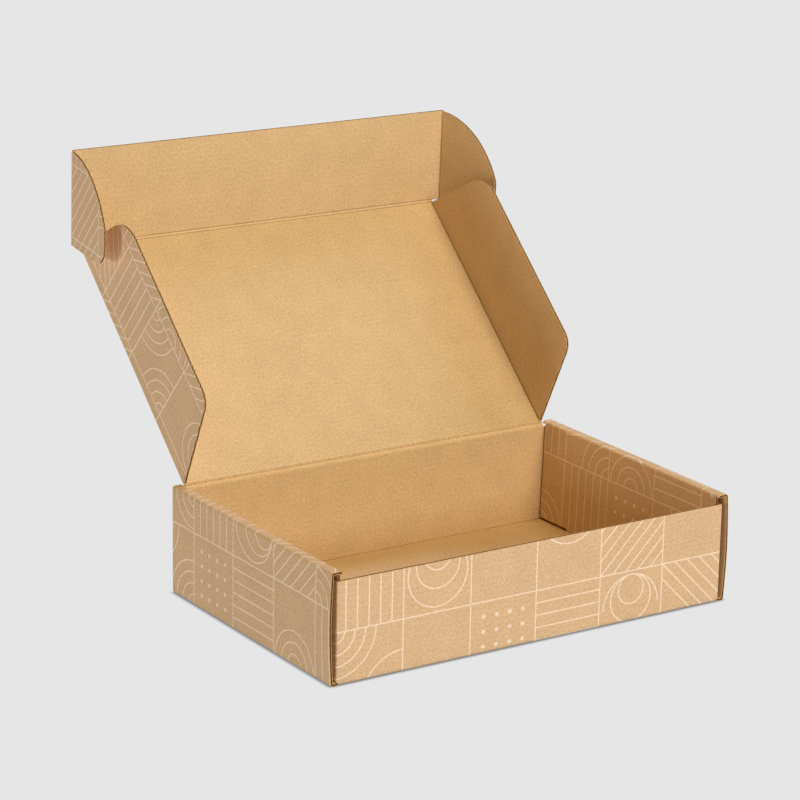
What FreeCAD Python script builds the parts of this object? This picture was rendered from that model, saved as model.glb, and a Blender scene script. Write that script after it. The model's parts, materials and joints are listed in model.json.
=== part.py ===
import FreeCAD, Part
import os
import Sketcher
from FreeCAD import Vector

# A roll-end mailer box folded from one sheet of corrugated board, standing open.
# Millimetres and degrees. X runs across the box, Y from front to back, Z up.
# The origin is the centre of the base's underside.

SIZES = (
    ("box_width", 280.0, "outside width over the side walls"),
    ("box_depth", 180.0, "outside depth, front wall to back wall"),
    ("box_height", 67.5, "height of the rolled side walls"),
    ("board", 1.6, "thickness of the board"),
    ("liner", 0.25, "thickness of each of the board's two flat papers"),
    ("flute_pitch", 3.3, "crest to crest of the board's fluting"),
    ("flute_wall", 0.2, "fluted paper left between two flute cells"),
    ("flute_start", 2.4, "flute cells from a flap's fold"),
    ("front_wall_drop", 5.8, "front wall's edge below the rolled side walls"),
    ("hinge_drop", 3.9, "lower hinge score below the rolled side walls"),
    ("ear_slot", 2.2, "room between an outer side wall and the corner flaps"),
    ("layer_gap", 0.2, "air between two layers that lie on each other"),
    ("crease_radius", 1.2, "outside radius of a folded edge"),
    ("inner_wall_lean", 2.0, "lean of the inner side walls, feet inwards"),
    ("inner_wall_lift", 0.8, "inner side wall's edge above the base"),
    ("corner_flap_length", 68.0, "corner flap, from its fold to its free end"),
    ("corner_flap_taper", 5.0, "how much a corner flap narrows at each edge"),
    ("tab_length", 24.0, "length of a lock tab in the base"),
    ("tab_place", 46.0, "lock tab's middle from the middle of the wall"),
    ("tab_clearance", 0.4, "air around a lock tab in its slot"),
    ("strip_length", 3.0, "distance between the two scores of the hinge"),
    ("fold_clearance", 0.2, "air in a fold between its bead and its groove"),
    ("mitre_clearance", 0.15, "air on each side of a fold's mitre"),
    ("lid_side_gap", 0.9, "closed lid to the rolled side walls"),
    ("tuck_clearance", 0.3, "closed tuck flap to the front wall"),
    ("tuck_floor_gap", 4.3, "closed tuck flap's edge above the floor"),
    ("flap_floor_gap", 1.1, "closed side flap's edge above the base"),
    ("flap_hinge_start", 1.8, "side flap's fold from the hinge score"),
    ("flap_hinge_end", 6.5, "side flap's fold from the tuck score"),
    ("flap_bead_inset", 0.6, "side flap's fold bead from the ends of its fold"),
    ("flap_back_slant", 18.2, "slant of the side flap's edge at the hinge"),
    ("flap_front_slant", 13.6, "slant of the side flap's edge at the tuck"),
    ("flap_back_radius", 11.0, "side flap's rounded corner at the hinge"),
    ("flap_front_radius", 24.0, "side flap's rounded corner at the tuck"),
    ("ear_inset", 1.1, "ear's fold from the end of the front wall"),
    ("ear_shoulder", 1.0, "ear's straight edge from the tuck score"),
    ("ear_reach", 55.5, "how far an ear stands off its fold"),
    ("ear_arc_step", 0.9, "ear's arc below the tuck flap's free edge"),
    ("ear_corner_radius", 13.0, "ear's rounded lower corner"),
    ("ear_bead_end", 2.0, "ear's fold bead below the tuck flap's free edge"),
    ("strip_rise", 67.5, "hinge strip's angle above the horizontal, leaning back"),
    ("lid_rise", 42.4, "lid's angle above the horizontal, leaning back"),
    ("tuck_bend", 49.9, "bend of the tuck flap from the lid's plane"),
    ("ear_bend", 83.3, "bend of an ear from the tuck flap's plane"),
    ("flap_bend", 89.4, "bend of a side flap from the lid's plane"),
    ("closed_strip_lean", 45.0, "forward lean of the hinge strip in the closed box"),
)

# Places worked out from the sizes, as expressions for the document.
HALF_WIDTH = "(Sizes.box_width / 2)"
HALF_DEPTH = "(Sizes.box_depth / 2)"
HALF_BOARD = "(Sizes.board / 2)"
SLOT_SIDE = f"({HALF_WIDTH} - Sizes.board - Sizes.ear_slot)"
FLAP_INNER_FACE = f"({SLOT_SIDE} - Sizes.board)"
ROLL_INNER_FACE = f"({FLAP_INNER_FACE} - Sizes.layer_gap - Sizes.board)"
ROLL_UNDERSIDE = "(Sizes.box_height - Sizes.board)"
INNER_WALL_FOOT = "(Sizes.board + Sizes.inner_wall_lift)"
FOOT_SHIFT = f"(({ROLL_UNDERSIDE} - {INNER_WALL_FOOT}) * tan(Sizes.inner_wall_lean * 1 deg))"
FOOT_INNER_FACE = f"({ROLL_INNER_FACE} - {FOOT_SHIFT})"
FRONT_WALL_TOP = "(Sizes.box_height - Sizes.front_wall_drop)"
HINGE_HEIGHT = "(Sizes.box_height - Sizes.hinge_drop)"
HINGE_PLACE = f"({HALF_DEPTH} - {HALF_BOARD})"
BEAD_RADIUS = HALF_BOARD
GROOVE_RADIUS = f"({HALF_BOARD} + Sizes.fold_clearance)"
LID_HALF_WIDTH = f"({ROLL_INNER_FACE} - Sizes.lid_side_gap)"
FLAP_AXIS = f"({LID_HALF_WIDTH} - {HALF_BOARD})"
EAR_AXIS = f"({SLOT_SIDE} + Sizes.ear_inset)"
CLOSED_LID_HEIGHT = f"({HINGE_HEIGHT} + Sizes.strip_length * cos(Sizes.closed_strip_lean * 1 deg))"
LID_LENGTH = (
    "(Sizes.box_depth + Sizes.tuck_clearance"
    " - Sizes.strip_length * sin(Sizes.closed_strip_lean * 1 deg))"
)
TUCK_LENGTH = f"({CLOSED_LID_HEIGHT} - Sizes.tuck_floor_gap)"
FLAP_DEPTH = f"({CLOSED_LID_HEIGHT} - Sizes.board - Sizes.flap_floor_gap)"
EAR_ARC = f"({TUCK_LENGTH} - Sizes.ear_arc_step)"
MITRE_STEP = "(Sizes.mitre_clearance * sqrt(2))"
BEYOND = "Sizes.board"

SIDES = (("right", 1), ("left", -1))


def size_sheet(doc):
    """The driving sizes, one cell each."""
    sheet = doc.addObject("Spreadsheet::Sheet", "Sizes")
    for row, (alias, value, note) in enumerate(SIZES, start=1):
        sheet.set(f"A{row}", note)
        sheet.set(f"B{row}", str(value))
        sheet.setAlias(f"B{row}", alias)
    doc.recompute()
    return sheet


def new_body(doc, name, label, placement=None):
    body = doc.addObject("PartDesign::Body", name)
    body.Label = label
    if placement:
        body.setExpression("Placement", placement)
    return body


def turned(parent, place, axis, angle):
    """Placement expression: a frame at place in the parent's frame, turned about axis."""
    move = f"create(<<vector>>; {'; '.join(place)})"
    spin = f"create(<<rotation>>; create(<<vector>>; {axis}); {angle})"
    own = f"create(<<placement>>; {move}; {spin})"
    return f"{parent}.Placement * {own}" if parent else own


def new_sketch(body, name, role, offset=None):
    """A sketch on one of the body's origin planes, moved along its normal by offset."""
    sketch = body.newObject("Sketcher::SketchObject", name)
    plane = [item for item in body.Origin.OriginFeatures if item.Role == role][0]
    sketch.AttachmentSupport = [(plane, "")]
    sketch.MapMode = "FlatFace"
    if offset:
        sketch.setExpression("AttachmentOffset.Base.z", offset)
    return sketch


def bind(sketch, constraint, expression):
    index = sketch.addConstraint(constraint)
    label = f"size_{index}"
    sketch.renameConstraint(index, label)
    sketch.setExpression(f"Constraints.{label}", expression)


def add_outline(sketch, corners):
    """A closed outline of straight lines; each corner is a pair of expressions."""
    points = [Vector(*(float(sketch.evalExpression(part)) for part in corner)) for corner in corners]
    lines = []
    for start, end in zip(points, points[1:] + points[:1]):
        lines.append(sketch.addGeometry(Part.LineSegment(start, end), False))
    for line, following in zip(lines, lines[1:] + lines[:1]):
        sketch.addConstraint(Sketcher.Constraint("Coincident", line, 2, following, 1))
    for line, point, (across, along) in zip(lines, points, corners):
        bind(sketch, Sketcher.Constraint("DistanceX", -1, 1, line, 1, point.x), across)
        bind(sketch, Sketcher.Constraint("DistanceY", -1, 1, line, 1, point.y), along)


def add_rectangle(sketch, left, right, low, high):
    add_outline(sketch, [(left, low), (right, low), (right, high), (left, high)])


def add_circle(sketch, across, along, radius):
    numbers = [float(sketch.evalExpression(part)) for part in (across, along, radius)]
    circle = Part.Circle(Vector(numbers[0], numbers[1], 0), Vector(0, 0, 1), numbers[2])
    ring = sketch.addGeometry(circle, False)
    bind(sketch, Sketcher.Constraint("DistanceX", -1, 1, ring, 3, numbers[0]), across)
    bind(sketch, Sketcher.Constraint("DistanceY", -1, 1, ring, 3, numbers[1]), along)
    bind(sketch, Sketcher.Constraint("Radius", ring, numbers[2]), radius)


def pad(body, sketch, name, length, both_ways=False, reverse=False):
    feature = body.newObject("PartDesign::Pad", name)
    feature.Profile = sketch
    feature.setExpression("Length", length)
    if both_ways:
        feature.SideType = "Symmetric"
    feature.Reversed = reverse
    body.Document.recompute()
    return feature


def pocket(body, sketch, name, length, both_ways=True, reverse=False):
    feature = body.newObject("PartDesign::Pocket", name)
    before = body.Shape.Volume
    feature.Profile = sketch
    feature.setExpression("Length", length)
    if both_ways:
        feature.SideType = "Symmetric"
    feature.Reversed = reverse
    body.Document.recompute()
    if not body.Shape.Volume < before:
        raise RuntimeError(f"{name} cuts nothing")
    return feature


def fillet(body, name, radius, middles):
    """Round the edges whose middles are nearest to the given places."""
    base = body.Tip
    places = [Vector(*(float(base.evalExpression(part)) for part in middle)) for middle in middles]
    edges = list(enumerate(base.Shape.Edges, start=1))
    inverse = base.Shape.Placement.inverse()
    chosen = []
    for place in places:
        number, _ = min(edges, key=lambda item: (inverse.multVec(item[1].CenterOfMass) - place).Length)
        chosen.append(f"Edge{number}")
    feature = body.newObject("PartDesign::Fillet", name)
    feature.Base = (base, chosen)
    feature.setExpression("Radius", radius)
    body.Document.recompute()
    return feature


# ---------------------------------------------------------------- the tray


def tray_sides(body):
    """Base, outer side walls, rolled tops and inner side walls, as one folded section."""
    section = new_sketch(body, "SideSection", "XZ_Plane")
    right = [
        (HALF_WIDTH, "0"),
        (HALF_WIDTH, "Sizes.box_height"),
        (ROLL_INNER_FACE, "Sizes.box_height"),
        (ROLL_INNER_FACE, ROLL_UNDERSIDE),
        (FOOT_INNER_FACE, INNER_WALL_FOOT),
        (f"({FOOT_INNER_FACE} + Sizes.board)", INNER_WALL_FOOT),
        (f"({ROLL_INNER_FACE} + Sizes.board)", ROLL_UNDERSIDE),
        (f"({HALF_WIDTH} - Sizes.board)", ROLL_UNDERSIDE),
        (f"({HALF_WIDTH} - Sizes.board)", "Sizes.board"),
    ]
    left = [(f"-{across}", up) for across, up in reversed(right)]
    add_outline(section, right + left)
    pad(body, section, "FoldedSides", "Sizes.box_depth", both_ways=True)
    folds = [(HALF_WIDTH, "0", "Sizes.box_height"), (ROLL_INNER_FACE, "0", "Sizes.box_height")]
    folds += [(f"-{across}", middle, up) for across, middle, up in folds]
    fillet(body, "RollFolds", "Sizes.crease_radius", folds)


def tray_inner_wall_ends(body):
    """The inner side walls stop inside the front and back walls; only the roll runs on."""
    ends = new_sketch(body, "InnerWallEnds", "XY_Plane", "Sizes.board")
    low = f"({FOOT_INNER_FACE} - {BEYOND})"
    stop = f"({HALF_DEPTH} - Sizes.board - Sizes.layer_gap)"
    past = f"({HALF_DEPTH} + {BEYOND})"
    for mark in ("", "-"):
        add_rectangle(ends, mark + low, mark + SLOT_SIDE, stop, past)
        add_rectangle(ends, mark + low, mark + SLOT_SIDE, "-" + past, "-" + stop)
    height = f"({ROLL_UNDERSIDE} - Sizes.board)"
    pocket(body, ends, "InnerWallEndCuts", height, both_ways=False, reverse=True)


def tray_front_and_back(body):
    """Front and back walls, folded up from the base."""
    section = new_sketch(body, "WallSection", "YZ_Plane")
    inside = f"({HALF_DEPTH} - Sizes.board)"
    add_outline(section, [
        ("-" + HALF_DEPTH, "0"),
        (HALF_DEPTH, "0"),
        (HALF_DEPTH, HINGE_HEIGHT),
        (inside, HINGE_HEIGHT),
        (inside, "Sizes.board"),
        ("-" + inside, "Sizes.board"),
        ("-" + inside, FRONT_WALL_TOP),
        ("-" + HALF_DEPTH, FRONT_WALL_TOP),
    ])
    pad(body, section, "FrontAndBack", f"2 * {SLOT_SIDE}", both_ways=True)
    groove = new_sketch(body, "HingeGroove", "YZ_Plane")
    add_circle(groove, HINGE_PLACE, HINGE_HEIGHT, GROOVE_RADIUS)
    pocket(body, groove, "HingeGrooveCut", f"2 * {SLOT_SIDE}")


def tray_corner_flaps(body):
    """The four corner flaps, trapped inside the double side walls."""
    flaps = new_sketch(body, "CornerFlapOutlines", "YZ_Plane", FLAP_INNER_FACE)
    root = f"({HALF_DEPTH} - {HALF_BOARD})"
    end = f"({HALF_DEPTH} - Sizes.corner_flap_length)"
    low = f"(Sizes.board + Sizes.layer_gap)"
    high = f"({FRONT_WALL_TOP} - Sizes.layer_gap)"
    taper = "Sizes.corner_flap_taper"
    for mark in ("", "-"):
        add_outline(flaps, [
            (mark + root, low),
            (mark + end, f"{low} + {taper}"),
            (mark + end, f"{high} - {taper}"),
            (mark + root, high),
        ])
    first = pad(body, flaps, "CornerFlaps", "Sizes.board")
    mirror = body.newObject("PartDesign::Mirrored", "CornerFlapsLeft")
    mirror.Originals = [first]
    plane = [item for item in body.Origin.OriginFeatures if item.Role == "YZ_Plane"][0]
    mirror.MirrorPlane = (plane, [""])
    body.Tip = mirror
    body.Document.recompute()


def tray_lock_tabs(body):
    """Tabs on the inner side walls' feet, seated in slots through the base."""
    inner = f"({FOOT_INNER_FACE})"
    outer = f"({FOOT_INNER_FACE} + Sizes.board)"
    half = "Sizes.tab_length / 2"
    air = "Sizes.tab_clearance"
    slots = new_sketch(body, "TabSlots", "XY_Plane")
    tabs = new_sketch(body, "TabOutlines", "XY_Plane", "Sizes.layer_gap")
    for mark in ("", "-"):
        for place in ("Sizes.tab_place", "-Sizes.tab_place"):
            add_rectangle(slots, f"{mark}({inner} - {air})", f"{mark}({outer} + {air})",
                          f"{place} - {half} - {air}", f"{place} + {half} + {air}")
            add_rectangle(tabs, mark + inner, f"{mark}{outer}",
                          f"{place} - {half}", f"{place} + {half}")
    pocket(body, slots, "TabSlotCuts", "3 * Sizes.board")
    pad(body, tabs, "LockTabs", f"{INNER_WALL_FOOT} + Sizes.board")


def tray_folds(body):
    """Rounded folds along the four bottom edges and up the four corners."""
    folds = [(mark + HALF_WIDTH, "0", "0") for mark in ("", "-")]
    folds += [("0", mark + HALF_DEPTH, "0") for mark in ("", "-")]
    fillet(body, "BottomFolds", "Sizes.crease_radius", folds)
    corners = [
        (across + SLOT_SIDE, along + HALF_DEPTH, f"({FRONT_WALL_TOP} / 2)")
        for across in ("", "-") for along in ("", "-")
    ]
    fillet(body, "CornerFolds", "Sizes.crease_radius", corners)


def make_tray(doc):
    body = new_body(doc, "Tray", "tray")
    tray_sides(body)
    tray_inner_wall_ends(body)
    tray_front_and_back(body)
    tray_corner_flaps(body)
    tray_lock_tabs(body)
    tray_folds(body)
    return body


# ---------------------------------------------------------------- folds
# Each fold turns about the board's middle plane. The moving panel ends in a round
# bead on the axis, the panel that carries it in a groove, and where the fold closes
# to a right angle both are mitred on the side that closes.


def cut_groove(body, name, role, across, length):
    groove = new_sketch(body, name, role)
    for place in across:
        add_circle(groove, place, "0", GROOVE_RADIUS)
    pocket(body, groove, name + "Cut", length)


def cut_mitre(body, name, role, edges, length):
    """Mitre each edge; an edge is its place and the sign of the way the board lies."""
    mitre = new_sketch(body, name, role)
    for place, inward in edges:
        low = f"(-{BEYOND} - {MITRE_STEP})"
        high = f"({HALF_BOARD} + {BEYOND})"
        back = f"({place} - {inward} * {BEYOND})"
        far = f"({place} + {inward} * ({high} + {MITRE_STEP}))"
        add_outline(mitre, [(back, low), (far, high), (back, high)])
    pocket(body, mitre, name + "Cut", length)


def add_bead(body, name, role, start, length, reverse=False):
    """A round bead on the fold's axis, from start for length."""
    bead = new_sketch(body, name, role, start)
    add_circle(bead, "0", "0", BEAD_RADIUS)
    pad(body, bead, name + "Pad", length, reverse=reverse)


# ---------------------------------------------------------------- lid, strip and flaps


def make_hinge_strip(doc):
    """The narrow strip between the two scores of the lid's hinge."""
    place = ("0", HINGE_PLACE, HINGE_HEIGHT)
    body = new_body(doc, "HingeStrip", "lid_hinge_strip",
                    turned("", place, "1; 0; 0", "Sizes.strip_rise"))
    web = new_sketch(body, "StripWeb", "YZ_Plane")
    add_rectangle(web, "0", "Sizes.strip_length", "-" + HALF_BOARD, HALF_BOARD)
    pad(body, web, "StripWebPad", f"2 * {LID_HALF_WIDTH}", both_ways=True)
    beads = new_sketch(body, "StripBeads", "YZ_Plane")
    add_circle(beads, "0", "0", BEAD_RADIUS)
    add_circle(beads, "Sizes.strip_length", "0", BEAD_RADIUS)
    pad(body, beads, "StripBeadsPad", f"2 * {LID_HALF_WIDTH}", both_ways=True)
    return body


def cut_flutes(body, name, side, first, last):
    """Open the board's flute cells from beside a flap's fold out through its free edges.

    The cells stand point up and point down by turns, in a row from first to last."""
    core = f"({HALF_BOARD} - Sizes.liner)"
    tip = f"({core} - Sizes.flute_wall)"
    cells = new_sketch(body, name, "YZ_Plane", f"{side} * Sizes.flute_start")
    for shift, up in (("0", "1"), ("0.5", "-1")):
        start = f"({first} + {shift} * Sizes.flute_pitch)"
        add_outline(cells, [
            (f"({start} + Sizes.flute_wall)", f"-{up} * {core}"),
            (f"({start} + Sizes.flute_pitch - Sizes.flute_wall)", f"-{up} * {core}"),
            (f"({start} + Sizes.flute_pitch / 2)", f"{up} * {tip}"),
        ])
    cut = pocket(body, cells, f"{name}Cut", f"2 * {FLAP_DEPTH}", both_ways=False, reverse=side > 0)
    row = body.newObject("PartDesign::LinearPattern", f"{name}Row")
    row.Originals = [cut]
    row.Direction = (cells, ["H_Axis"])
    count = f"floor(({last} - {first}) / Sizes.flute_pitch - 0.5)"
    row.setExpression("Occurrences", count)
    row.setExpression("Length", f"({count} - 1) * Sizes.flute_pitch")
    body.Tip = row
    body.Document.recompute()


def make_lid_panel(doc):
    place = ("0", "Sizes.strip_length", "0")
    body = new_body(doc, "LidPanel", "lid_panel",
                    turned("HingeStrip", place, "1; 0; 0", "Sizes.lid_rise - Sizes.strip_rise"))
    outline = new_sketch(body, "LidOutline", "XY_Plane")
    add_rectangle(outline, "-" + FLAP_AXIS, FLAP_AXIS, "0", LID_LENGTH)
    pad(body, outline, "LidBoard", "Sizes.board", both_ways=True)
    across = f"3 * {LID_HALF_WIDTH}"
    along = f"3 * {LID_LENGTH}"
    cut_groove(body, "EndGrooves", "YZ_Plane", ("0", LID_LENGTH), across)
    cut_mitre(body, "TuckMitre", "YZ_Plane", [(LID_LENGTH, "-1")], across)
    cut_groove(body, "SideGrooves", "XZ_Plane", (FLAP_AXIS, "-" + FLAP_AXIS), along)
    cut_mitre(body, "SideMitres", "XZ_Plane", [(FLAP_AXIS, "-1"), ("-" + FLAP_AXIS, "1")], along)
    return body


def make_side_flap(doc, word, side):
    place = (f"{side} * {FLAP_AXIS}", "0", "0")
    body = new_body(doc, f"SideFlap{word.title()}", f"lid_side_flap_{word}",
                    turned("LidPanel", place, "0; 1; 0", f"{-side} * Sizes.flap_bend"))
    start = "Sizes.flap_hinge_start"
    end = f"({LID_LENGTH} - Sizes.flap_hinge_end)"
    back = f"({start} + {FLAP_DEPTH} * tan(Sizes.flap_back_slant * 1 deg))"
    front = f"({end} - {FLAP_DEPTH} * tan(Sizes.flap_front_slant * 1 deg))"
    depth = f"{side} * {FLAP_DEPTH}"
    outline = new_sketch(body, f"FlapOutline{word.title()}", "XY_Plane")
    add_outline(outline, [("0", start), (depth, back), (depth, front), ("0", end)])
    pad(body, outline, f"FlapBoard{word.title()}", "Sizes.board", both_ways=True)
    fillet(body, f"BackCorner{word.title()}", "Sizes.flap_back_radius", [(depth, back, "0")])
    fillet(body, f"FrontCorner{word.title()}", "Sizes.flap_front_radius", [(depth, front, "0")])
    cut_mitre(body, f"FlapMitre{word.title()}", "XZ_Plane", [("0", str(side))], f"3 * {LID_LENGTH}")
    inset = "Sizes.flap_bead_inset"
    add_bead(body, f"FlapBead{word.title()}", "XZ_Plane", f"-({start} + {inset})",
             f"{end} - {start} - 2 * {inset}", reverse=True)
    first = f"({start} + Sizes.flute_start * tan(Sizes.flap_back_slant * 1 deg) + Sizes.flute_wall)"
    last = f"({end} - Sizes.flute_start * tan(Sizes.flap_front_slant * 1 deg) - Sizes.flute_wall)"
    cut_flutes(body, f"FlapFlutes{word.title()}", side, first, last)
    return body


def make_tuck_flap(doc):
    place = ("0", LID_LENGTH, "0")
    body = new_body(doc, "TuckFlap", "tuck_flap",
                    turned("LidPanel", place, "1; 0; 0", "Sizes.tuck_bend"))
    outline = new_sketch(body, "TuckOutline", "XY_Plane")
    inner = f"({FLAP_AXIS} - {HALF_BOARD})"
    shoulder = "Sizes.ear_shoulder"
    add_outline(outline, [
        ("-" + inner, "0"),
        (inner, "0"),
        (inner, shoulder),
        (EAR_AXIS, shoulder),
        (EAR_AXIS, TUCK_LENGTH),
        ("-" + EAR_AXIS, TUCK_LENGTH),
        ("-" + EAR_AXIS, shoulder),
        ("-" + inner, shoulder),
    ])
    pad(body, outline, "TuckBoard", "Sizes.board", both_ways=True)
    cut_mitre(body, "TuckFoldMitre", "YZ_Plane", [("0", "1")], f"2 * {inner}")
    along = f"3 * {TUCK_LENGTH}"
    cut_groove(body, "EarGrooves", "XZ_Plane", (EAR_AXIS, "-" + EAR_AXIS), along)
    cut_mitre(body, "EarMitres", "XZ_Plane", [(EAR_AXIS, "-1"), ("-" + EAR_AXIS, "1")], along)
    add_bead(body, "TuckBead", "YZ_Plane", f"-{inner}", f"2 * {inner}")
    return body


def make_ear(doc, word, side):
    title = word.title()
    place = (f"{side} * {EAR_AXIS}", "0", "0")
    body = new_body(doc, f"Ear{title}", f"tuck_ear_{word}",
                    turned("TuckFlap", place, "0; 1; 0", f"{-side} * Sizes.ear_bend"))
    reach = f"{side} * Sizes.ear_reach"
    shoulder = "Sizes.ear_shoulder"
    outline = new_sketch(body, f"EarOutline{title}", "XY_Plane")
    add_rectangle(outline, "0", reach, shoulder, EAR_ARC)
    pad(body, outline, f"EarBoard{title}", "Sizes.board", both_ways=True)
    fillet(body, f"EarCorner{title}", "Sizes.ear_corner_radius", [(reach, shoulder, "0")])
    arc = new_sketch(body, f"EarArc{title}", "XY_Plane")
    add_circle(arc, "0", "0", EAR_ARC)
    add_circle(arc, "0", "0", f"2 * {EAR_ARC}")
    pocket(body, arc, f"EarArcCut{title}", "3 * Sizes.board")
    cut_mitre(body, f"EarMitre{title}", "XZ_Plane", [("0", str(side))], f"3 * {TUCK_LENGTH}")
    start = f"({shoulder} + Sizes.fold_clearance)"
    length = f"({TUCK_LENGTH} - Sizes.ear_bead_end - {start})"
    add_bead(body, f"EarBead{title}", "XZ_Plane", f"-{start}", length, reverse=True)
    first = f"({shoulder} + Sizes.flute_wall)"
    last = f"(sqrt({EAR_ARC} ^ 2 - Sizes.flute_start ^ 2) - Sizes.flute_wall)"
    cut_flutes(body, f"EarFlutes{title}", side, first, last)
    return body


# ---------------------------------------------------------------- whole box


def check(doc, bodies):
    for item in doc.Objects:
        if "Invalid" in item.State or "Error" in item.State:
            raise RuntimeError(f"{item.Name} failed: {item.State}")
    for body in bodies:
        if body.Shape.isNull() or not body.Shape.isValid():
            raise RuntimeError(f"{body.Label} has no valid shape")
        if len(body.Shape.Solids) != 1:
            raise RuntimeError(f"{body.Label} is {len(body.Shape.Solids)} solids")


def main():
    doc = FreeCAD.newDocument("MailerBox")
    size_sheet(doc)
    bodies = [make_tray(doc), make_hinge_strip(doc), make_lid_panel(doc), make_tuck_flap(doc)]
    for word, side in SIDES:
        bodies.append(make_side_flap(doc, word, side))
        bodies.append(make_ear(doc, word, side))
    doc.recompute()
    check(doc, bodies)
    os.makedirs("parts", exist_ok=True)
    for body in bodies:
        body.Shape.exportStep(f"parts/{body.Label}.step")
        box = body.Shape.BoundBox
        print(f"{body.Label}: {body.Shape.Volume:.0f} mm3, x {box.XMin:.1f} to {box.XMax:.1f}, "
              f"y {box.YMin:.1f} to {box.YMax:.1f}, z {box.ZMin:.1f} to {box.ZMax:.1f}")
    return doc, bodies


main()
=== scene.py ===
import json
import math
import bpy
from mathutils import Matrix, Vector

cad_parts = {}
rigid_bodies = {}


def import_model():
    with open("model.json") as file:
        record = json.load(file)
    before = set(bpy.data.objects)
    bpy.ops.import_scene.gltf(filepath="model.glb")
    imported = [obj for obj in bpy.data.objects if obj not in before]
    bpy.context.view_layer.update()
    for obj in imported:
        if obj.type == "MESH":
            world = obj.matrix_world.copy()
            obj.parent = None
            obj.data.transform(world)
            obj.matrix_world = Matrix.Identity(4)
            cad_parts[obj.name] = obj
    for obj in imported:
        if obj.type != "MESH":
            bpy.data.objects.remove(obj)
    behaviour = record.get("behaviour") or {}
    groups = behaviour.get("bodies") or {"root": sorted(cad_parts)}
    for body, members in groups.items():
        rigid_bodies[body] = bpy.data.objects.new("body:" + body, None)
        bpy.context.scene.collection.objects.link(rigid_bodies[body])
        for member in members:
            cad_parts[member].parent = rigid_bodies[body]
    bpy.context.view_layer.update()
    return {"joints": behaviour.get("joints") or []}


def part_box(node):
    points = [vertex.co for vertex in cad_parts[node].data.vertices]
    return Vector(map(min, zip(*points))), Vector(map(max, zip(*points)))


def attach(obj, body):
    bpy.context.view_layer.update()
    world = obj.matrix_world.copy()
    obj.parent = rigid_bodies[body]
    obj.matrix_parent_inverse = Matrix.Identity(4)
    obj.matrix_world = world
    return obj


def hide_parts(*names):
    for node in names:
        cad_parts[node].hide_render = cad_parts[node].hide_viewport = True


bl_info = {
    "name": "Printed Mailer Box",
    "version": (1, 0, 0),
    "blender": (4, 5, 0),
    "location": "View3D > Sidebar > Mailer Box",
    "description": "Folds a roll-end mailer box from printed corrugated board around its packed frame",
    "category": "Add Mesh",
}

import bmesh
import bpy
import numpy as np
from bpy.props import FloatProperty, PointerProperty, StringProperty
from mathutils import Matrix, Vector
from mathutils.geometry import delaunay_2d_cdt

for item in list(bpy.data.objects):
    bpy.data.objects.remove(item)
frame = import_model()

# Lengths in the board's own sums are millimetres; a mesh is made in metres.
MM = 0.001
JOINTS = {joint["name"]: joint for joint in frame["joints"]}

# What a face of the board shows.
INSIDE, OUTSIDE, INK, CUT, FLUTE = range(5)


def joint_place(name):
    """A point on a joint's axis, in millimetres."""
    return np.array(JOINTS[name]["pos_m"]) / MM


def joint_axis(name):
    return np.array(JOINTS[name]["axis"])


def largest_corner(node):
    """The corner of a node's box with the largest x, y and z, in millimetres."""
    return np.array(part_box(node)[1]) / MM


# ---------------------------------------------------------------- what a user would change


def length_prop(name, description, metres):
    return FloatProperty(name=name, description=description, default=metres, unit="LENGTH", precision=5)


def angle_prop(name, description, degrees):
    return FloatProperty(name=name, description=description, default=math.radians(degrees), subtype="ANGLE")


def colour_prop(name, description, srgb):
    return StringProperty(name=name, description=description, default=srgb)


class BoardSizes(bpy.types.PropertyGroup):
    """Sizes of the board, its folds and its print."""

    board: length_prop("Board", "Thickness of the board", 0.0016)
    liner: length_prop("Liner", "Thickness of each facing paper", 0.0003)
    flute_pitch: length_prop("Flute pitch", "Crest to crest of the fluting", 0.0033)
    flute_recess: length_prop("Flute recess", "Depth of a cut edge between its papers", 0.0012)
    fold_radius: length_prop("Fold radius", "Radius of a fold at the board's middle", 0.0009)
    crease_reach: length_prop("Crease reach", "Half the width of a crease's crushed band", 0.002)
    ear_slot: length_prop("Ear slot", "Room between outer side wall and corner flap", 0.0022)
    layer_gap: length_prop("Layer gap", "Air between two layers", 0.0002)
    front_drop: length_prop("Front drop", "Front wall's edge below the rolled walls", 0.0058)
    wall_lift: length_prop("Wall lift", "Inner side wall's edge above the base", 0.0008)
    wall_lean: angle_prop("Wall lean", "Lean of the inner side walls", 2.0)
    groove: length_prop("Groove", "Depth of a score pressed into the inside paper", 0.0004)
    flap_bend: angle_prop("Side flap bend", "Bend of the side flaps from the lid", 89.4)
    tile: length_prop("Tile", "Side of one tile of the print", 0.046)
    line: length_prop("Line", "Width of a printed line", 0.00085)


class BoardColours(bpy.types.PropertyGroup):
    """Colours of the paper, the ink and the studio, as sRGB hex values."""

    inside: colour_prop("Inside", "Kraft paper inside", "#E0C39E")
    outside: colour_prop("Outside", "Kraft paper outside", "#DFBF9E")
    ink: colour_prop("Ink", "Cream ink of the print", "#F6E0CE")
    cut: colour_prop("Cut edge", "Cut edge of the papers", "#DEB98A")
    # The fluting's colour is darkened with painted shade for the recess between the cut liners.
    flute: colour_prop("Fluting", "Fluted paper inside the board", "#7C5632")
    floor: colour_prop("Floor", "Studio floor", "#E6E6E6")


def sizes():
    """The sizes in millimetres, by name; angles stay in radians."""
    group = bpy.context.scene.mailer_sizes
    angles = ("wall_lean", "flap_bend")
    names = BoardSizes.__annotations__
    return {name: getattr(group, name) / (1 if name in angles else MM) for name in names}


def linear(hex_colour):
    """An sRGB hex colour as linear RGBA."""
    parts = [int(hex_colour[i:i + 2], 16) / 255 for i in (1, 3, 5)]
    return [c / 12.92 if c <= 0.04045 else ((c + 0.055) / 1.055) ** 2.4 for c in parts] + [1.0]


# ---------------------------------------------------------------- folding the board

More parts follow.
